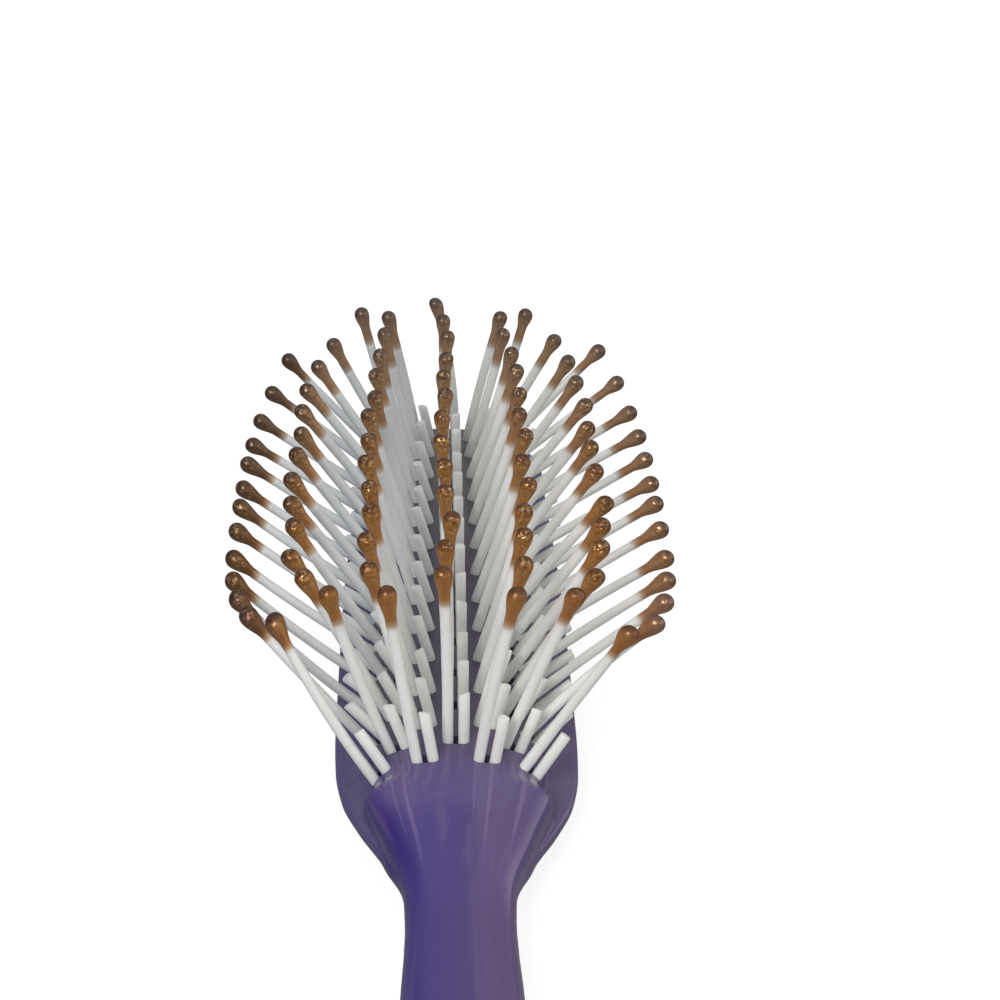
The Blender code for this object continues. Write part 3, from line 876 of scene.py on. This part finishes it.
def make_tufts(row):
    """Frames and small irregularities of the seven tufts of one cross row."""
    tufts = []
    for number in range(FILES):
        hole, across, forward, along = tuft_frame(row, number)
        sideways_deg, forward_deg = leg_lean(row, number)
        lean = across * math.tan(math.radians(sideways_deg))
        lean += forward * math.tan(math.radians(forward_deg))
        bend = across * tuft_numbers.uniform(-BEND_SPREAD, BEND_SPREAD)
        bend += forward * tuft_numbers.uniform(-BEND_SPREAD, BEND_SPREAD)
        cut = across * tuft_numbers.uniform(-CUT_ACROSS_SPREAD, CUT_ACROSS_SPREAD)
        cut += forward * tuft_numbers.uniform(*CUT_FORWARD_RANGE)
        short_leg = SHORT_LEG + tuft_numbers.uniform(-SHORT_LEG_SPREAD, SHORT_LEG_SPREAD)
        drop = BALL_DROP * tuft_numbers.uniform(*DROP_RANGE)
        to_short = across * LEG_SPACING / 2
        if (row, number) in TURNED_TUFTS:
            to_short = -to_short
        tufts.append({
            "hole": hole,
            "across": across,
            "forward": forward,
            "along": along,
            "to_short": to_short,
            "lean": lean,
            "bend": bend,
            "cut": cut,
            "long_leg": LONG_LEG + nose_fall(tuft_y(row, number)),
            "short_leg": short_leg,
            "slimming": OUTER_LEG_SLIMMING if number in (0, FILES - 1) else 0.0,
            "ball": ball_radius(row, number),
            "dip": DIP_LENGTHS[number] + DIP_GROWTH * row / (CROSS_ROWS - 1),
            "drop": drop,
        })
    return tufts


class Nodes:
    """Short way to write the node tree of a material or of the world."""

    def __init__(self, owner, shader="Principled BSDF"):
        owner.use_nodes = True
        self.owner = owner
        self.tree = owner.node_tree
        self.shader = self.tree.nodes[shader]

    def add(self, kind, **settings):
        """A new node with its properties set."""
        node = self.tree.nodes.new(kind)
        for key, value in settings.items():
            setattr(node, key, value)
        return node

    def link(self, source, target):
        """Join an output to an input."""
        self.tree.links.new(source, target)

    def ramp(self, factor, stops):
        """A colour ramp over factor with (position, colour) stops."""
        node = self.add("ShaderNodeValToRGB")
        elements = node.color_ramp.elements
        while len(elements) < len(stops):
            elements.new(0.5)
        for element, (position, color) in zip(elements, stops):
            element.position = position
            element.color = color
        self.link(factor, node.inputs["Fac"])
        return node.outputs["Color"]

    def noise(self, scale, detail=3.0, stretch=(1.0, 1.0, 1.0), place=None):
        """Noise over place, or else over the object's own coordinates, stretched along its axes."""
        if place is None:
            place = self.add("ShaderNodeTexCoord").outputs["Object"]
        mapping = self.add("ShaderNodeMapping")
        mapping.inputs["Scale"].default_value = stretch
        self.link(place, mapping.inputs["Vector"])
        node = self.add("ShaderNodeTexNoise")
        node.inputs["Scale"].default_value = scale
        node.inputs["Detail"].default_value = detail
        self.link(mapping.outputs["Vector"], node.inputs["Vector"])
        return node.outputs["Fac"]

    def axes(self, output="Object"):
        """The X, Y and Z of the object's own coordinates, or of the world's directions."""
        place = self.add("ShaderNodeTexCoord")
        split = self.add("ShaderNodeSeparateXYZ")
        self.link(place.outputs[output], split.inputs["Vector"])
        return split.outputs["X"], split.outputs["Y"], split.outputs["Z"]

    def rise(self, value, start, end):
        """A smooth rise from 0 to 1 while value goes from start to end."""
        node = self.add("ShaderNodeMapRange", interpolation_type="SMOOTHSTEP")
        node.inputs["From Min"].default_value = start
        node.inputs["From Max"].default_value = end
        self.link(value, node.inputs["Value"])
        return node.outputs["Result"]

    def put(self, socket, value):
        """Give an input its value: a number, a colour or another node's output."""
        if isinstance(value, bpy.types.NodeSocket):
            self.link(value, socket)
        else:
            socket.default_value = value

    def math(self, operation, *values):
        """A value worked out from others, each an output or a number."""
        node = self.add("ShaderNodeMath", operation=operation)
        for socket, value in zip(node.inputs, values):
            self.put(socket, value)
        return node.outputs["Value"]

    def product(self, first, *factors):
        """Several values multiplied, each an output or a number."""
        for factor in factors:
            first = self.math("MULTIPLY", first, factor)
        return first

    def shade(self, settings):
        """Give the shader's inputs their values by name, each a number, a colour or an output."""
        for name, value in settings.items():
            self.put(self.shader.inputs[name], value)

    def mix(self, factor, first, second):
        """A mix of two colours, each an output or a colour."""
        node = self.add("ShaderNodeMix", data_type="RGBA")
        self.put(node.inputs["Factor"], factor)
        self.put(node.inputs[6], first)
        self.put(node.inputs[7], second)
        return node.outputs[2]

    def bump(self, height, strength, distance):
        """Bump from a height into the shader's normal."""
        node = self.add("ShaderNodeBump")
        self.put(node.inputs["Strength"], strength)
        node.inputs["Distance"].default_value = distance
        self.link(height, node.inputs["Height"])
        self.link(node.outputs["Normal"], self.shader.inputs["Normal"])

    def split_by_camera(self, hidden, seen, output):
        """Put one shader where the camera looks, and another for all other light, into the output."""
        path = self.add("ShaderNodeLightPath")
        choice = self.add("ShaderNodeMixShader")
        self.link(path.outputs["Is Camera Ray"], choice.inputs["Fac"])
        self.link(hidden, choice.inputs[1])
        self.link(seen, choice.inputs[2])
        self.link(choice.outputs["Shader"], self.tree.nodes[output].inputs["Surface"])


def new_material(name):
    """Nodes of a new material."""
    return Nodes(bpy.data.materials.new(name))


def body_material():
    """Glossy pearly purple plastic, painted bluer at the left and mauve at the right as reflection,
    with painted sheen and reflex lines, and greyer under the tufts as painted shade.
    """
    nodes = new_material("body_plastic")
    across, lengthwise, height = nodes.axes()
    narrowing = nodes.math("MULTIPLY_ADD", nodes.rise(lengthwise, -0.060, -0.040), -0.45, 1.0)
    fan_node = nodes.add("ShaderNodeCombineXYZ")
    nodes.link(nodes.product(across, narrowing), fan_node.inputs["X"])
    nodes.link(lengthwise, fan_node.inputs["Y"])
    nodes.link(height, fan_node.inputs["Z"])
    fan = fan_node.outputs["Vector"]
    # painted reflection: bluer at the left and mauve at the right, broken into lengthwise streaks
    reflection_streak_noise = nodes.noise(260.0, 3.0, (1.0, 0.05, 1.0), fan)
    streak = nodes.math("MULTIPLY_ADD", reflection_streak_noise, 0.010, across)
    color = nodes.ramp(nodes.rise(streak, -0.005, 0.015), BODY_COLORS)
    # painted reflection: lighter lengthwise streaks
    reflection_streaks = nodes.rise(nodes.noise(520.0, 2.0, (1.0, 0.04, 1.0), fan), 0.50, 0.68)
    color = nodes.mix(nodes.product(reflection_streaks, 0.35), color, REFLECTION_STREAK_COLOR)
    # painted sheen: the top of the head is lighter from the shoulder on
    front_start = nodes.rise(lengthwise, -0.0470, -0.0425)
    front_sheen = nodes.product(front_start, nodes.rise(height, 0.0085, 0.0100), 0.55)
    color = nodes.mix(front_sheen, color, FRONT_SHEEN_COLOR)
    # painted sheen: the plate is lighter and greyer
    shelf_start = nodes.rise(lengthwise, -0.050, -0.045)
    shelf_sheen = nodes.product(shelf_start, nodes.rise(height, 0.0078, 0.0066), 0.7)
    color = nodes.mix(shelf_sheen, color, SHELF_SHEEN_COLOR)
    # painted reflection: thin light lines fanning over the upper surfaces of the head
    reflex_lines = nodes.rise(nodes.noise(1400.0, 1.0, (1.0, 0.02, 0.0), fan), 0.57, 0.67)
    reflex_start = nodes.rise(lengthwise, -0.056, -0.045)
    reflex_lines = nodes.product(reflex_lines, reflex_start, nodes.rise(height, 0.0078, 0.0092), 0.35)
    color = nodes.mix(reflex_lines, color, REFLEX_LINE_COLOR)
    # painted shade: the bed under the tufts is darker and greyer, less dark towards the nose
    tufts_start = nodes.rise(lengthwise, -0.043, -0.028)
    tuft_shade = nodes.product(tufts_start, nodes.rise(height, 0.0064, 0.0084))
    bed_shade = nodes.mix(nodes.rise(lengthwise, -0.005, 0.035), BED_NEAR_SHADE_COLOR, BED_FAR_SHADE_COLOR)
    nodes.shade({
        "Base Color": nodes.mix(tuft_shade, color, bed_shade),
        "Roughness": 0.16,
        "Coat Weight": 0.3,
        "Coat Roughness": 0.05,
    })
    nodes.bump(nodes.noise(900.0, 2.0, (1.0, 0.25, 1.0)), 0.06, 0.0002)
    return nodes.owner


def nylon_material():
    """White, slightly translucent nylon, creamier at the right, and darker and cooler at the far left
    as painted shade.
    """
    nodes = new_material("nylon")
    cloud = nodes.noise(220.0, 3.0, (1.0, 1.0, 0.35))
    # painted shade: the nylon's darker, cooler copy, mixed in at the left and more so towards the
    # nose
    cool = nodes.ramp(cloud, NYLON_SHADED_COLORS)
    creamy = nodes.ramp(cloud, NYLON_CREAMY_COLORS)
    across, lengthwise, _ = nodes.axes()
    far = nodes.math("MULTIPLY_ADD", nodes.rise(lengthwise, -0.040, 0.0), 0.8, 0.2)
    far_left = nodes.product(nodes.rise(across, 0.012, -0.014), far)
    nodes.shade({
        "Base Color": nodes.mix(far_left, creamy, cool),
        "Roughness": 0.32,
        "Coat Weight": 0.25,
        "Coat Roughness": 0.12,
        "Subsurface Weight": 0.35,
        "Subsurface Radius": (0.9, 0.9, 0.8),
        "Subsurface Scale": 0.0008,
    })
    nodes.bump(nodes.noise(1500.0, 2.0, (1.0, 1.0, 0.2)), 0.08, 0.0001)
    return nodes.owner


def tip_material():
    """Bronze dip coat with its crown painted dark as shade, painted shade on the left file's tips and
    fine metallic flecks lightened as painted glints; it thins out to white at its lower edge.
    """
    nodes = new_material("ball_tips")
    dip = nodes.add("ShaderNodeAttribute", attribute_name="dip").outputs["Fac"]
    across, lengthwise, _ = nodes.axes()
    uneven = nodes.math("MULTIPLY_ADD", nodes.noise(900.0, 2.0), 0.08, dip)
    warm = nodes.ramp(uneven, TIP_WARM_COLORS)
    cool = nodes.ramp(uneven, TIP_COOL_COLORS)
    coat = nodes.mix(nodes.rise(lengthwise, -0.020, 0.034), warm, cool)
    near = nodes.rise(lengthwise, -0.012, -0.032)
    covered = nodes.rise(dip, 0.90, 0.60)
    left = nodes.rise(across, -0.017, -0.023)
    right = nodes.rise(across, 0.016, 0.024)
    # painted shade: the tips of the left file are darkened
    shade = nodes.mix(near, TIP_FAR_PAINTED_SHADE, TIP_NEAR_PAINTED_SHADE)
    coat = nodes.mix(nodes.product(left, covered, 0.64), coat, shade)
    coat = nodes.mix(nodes.product(right, 0.5), coat, cool)
    coat = nodes.mix(nodes.product(right, covered, near, 0.5), coat, TIP_ROSY_COLOR)
    # metallic flecks, lightened as painted glints, strongest in the middle rows and high on the dip
    cells = nodes.add("ShaderNodeTexVoronoi")
    cells.inputs["Scale"].default_value = 3300.0
    place = nodes.add("ShaderNodeTexCoord")
    nodes.link(place.outputs["Object"], cells.inputs["Vector"])
    fleck_glint = nodes.ramp(cells.outputs["Color"], FLECK_GLINT_STOPS)
    middle_start = nodes.rise(lengthwise, -0.040, -0.022)
    middle = nodes.product(middle_start, nodes.rise(lengthwise, 0.036, 0.014))
    strong = nodes.product(
        nodes.math("MULTIPLY_ADD", middle, 0.40, 0.02),
        nodes.math("MULTIPLY_ADD", left, -0.4, 1.0),
        nodes.math("MULTIPLY_ADD", right, -0.7, 1.0),
    )
    upper = nodes.product(nodes.rise(dip, 0.62, 0.30), strong)
    nodes.shade({
        "Base Color": nodes.mix(nodes.product(fleck_glint, upper), coat, FLECK_GLINT_COLOR),
        "Metallic": nodes.product(nodes.rise(dip, 0.95, 0.70), 0.58),
        "Specular Tint": TIP_SPECULAR_TINT,
        "Roughness": nodes.math("MULTIPLY_ADD", middle, -0.16, 0.44),
        "Coat Weight": 0.4,
        "Coat Roughness": 0.10,
    })
    crinkle = nodes.math("MULTIPLY_ADD", upper, 1.7, 0.05)
    nodes.bump(nodes.noise(1700.0, 1.0), crinkle, 0.0005)
    return nodes.owner


def anchor_material():
    """Plain wire, slightly uneven in its grey."""
    nodes = new_material("anchors")
    nodes.shade({
        "Base Color": nodes.ramp(nodes.noise(600.0, 2.0), WIRE_COLORS),
        "Metallic": 1.0,
        "Roughness": 0.35,
    })
    return nodes.owner


def build_brush():
    """All pieces, each riding on the part's one body and standing for its solid."""
    nylon = nylon_material()
    dip = tip_material()
    wire = anchor_material()
    body = build_body(body_material())
    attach(body, "root")
    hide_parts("body")
    for row in range(CROSS_ROWS):
        tufts = make_tufts(row)
        number = row + 1
        kinds = (
            ("strands", strand_skin, nylon, "nylon"),
            ("ball_tips", tip_skin, dip, "ball_tips"),
            ("anchors", anchor_skin, wire, "anchors"),
        )
        for kind, make, material, slot in kinds:
            piece = add_object("%s_row_%02d" % (kind, number), make(tufts), material)
            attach(piece, "root")
            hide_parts("bristle_row_%02d" % number)


def add_softbox(name, place, size, power, color):
    """A square softbox at place, turned to the brush."""
    light = bpy.data.lights.new(name, "AREA")
    light.shape = "SQUARE"
    light.size = size
    light.energy = power
    light.color = color
    lamp = link_object(name, light)
    lamp.location = place
    lamp.rotation_euler = (LIGHT_AIM - place).to_track_quat("-Z", "Y").to_euler()


def add_lights():
    """A softbox behind the camera, above it and to its left, and a weaker one to its right."""
    add_softbox("key_light", KEY_PLACE, KEY_SIZE, KEY_POWER, KEY_COLOR)
    add_softbox("right_light", RIGHT_PLACE, RIGHT_SIZE, RIGHT_POWER, RIGHT_COLOR)


def add_world():
    """Soft light from above and from the right, dimmer low down; white where the camera sees it."""
    world = bpy.data.worlds.new("studio")
    bpy.context.scene.world = world
    nodes = Nodes(world, "Background")
    sideways, _, height = nodes.axes("Generated")
    sky = nodes.ramp(height, SKY_COLORS)
    sky = nodes.mix(nodes.rise(sideways, 0.60, 1.0), sky, SKY_RIGHT_COLOR)
    sky = nodes.mix(nodes.rise(sideways, -0.35, -1.0), sky, SKY_LEFT_COLOR)
    nodes.shade({"Color": sky, "Strength": SKY_STRENGTH})
    white = nodes.add("ShaderNodeBackground")
    white.inputs["Color"].default_value = WHITE
    white.inputs["Strength"].default_value = 1.0
    nodes.split_by_camera(
        nodes.shader.outputs["Background"], white.outputs["Background"], "World Output"
    )


def floor_material():
    """Matt grey that also glows where the camera sees it, so that it looks white there."""
    nodes = new_material("floor")
    nodes.shade({
        "Base Color": nodes.ramp(nodes.noise(3.0, 2.0), FLOOR_COLORS),
        "Roughness": 0.9,
        "Specular IOR Level": 0.0,
    })
    glow = nodes.add("ShaderNodeEmission")
    glow.inputs["Strength"].default_value = FLOOR_GLOW
    both = nodes.add("ShaderNodeAddShader")
    nodes.link(nodes.shader.outputs["BSDF"], both.inputs[0])
    nodes.link(glow.outputs["Emission"], both.inputs[1])
    nodes.split_by_camera(
        nodes.shader.outputs["BSDF"], both.outputs["Shader"], "Material Output"
    )
    return nodes.owner


def add_floor():
    """Floor that the brush lies on, which shows only a faint shadow."""
    skin = bmesh.new()
    bmesh.ops.create_grid(skin, x_segments=1, y_segments=1, size=FLOOR_SIZE)
    mesh = bpy.data.meshes.new("floor")
    skin.to_mesh(mesh)
    skin.free()
    mesh.materials.append(floor_material())
    floor = link_object("floor", mesh)
    floor.location = (0.0, 0.0, -FLOOR_DROP)


def add_camera():
    """The photograph's view: from behind the handle, looking down along the bristles."""
    camera = bpy.data.cameras.new("camera")
    camera.lens = CAMERA_LENS_MM
    camera.sensor_width = CAMERA_SENSOR_MM
    camera.sensor_fit = "HORIZONTAL"
    camera.clip_start = CAMERA_CLIP_START
    holder = link_object("camera", camera)
    turn = Matrix.Rotation(-math.radians(CAMERA_RIGHT_DEG), 4, "Z")
    tilt = Matrix.Rotation(math.radians(90 - CAMERA_DOWN_DEG), 4, "X")
    roll = Matrix.Rotation(math.radians(CAMERA_ROLL_DEG), 4, "Z")
    holder.matrix_world = Matrix.Translation(CAMERA_PLACE) @ turn @ tilt @ roll
    bpy.context.scene.camera = holder


add_camera()
add_lights()
add_world()
add_floor()
build_brush()
bpy.context.scene.view_settings.view_transform = "Standard"
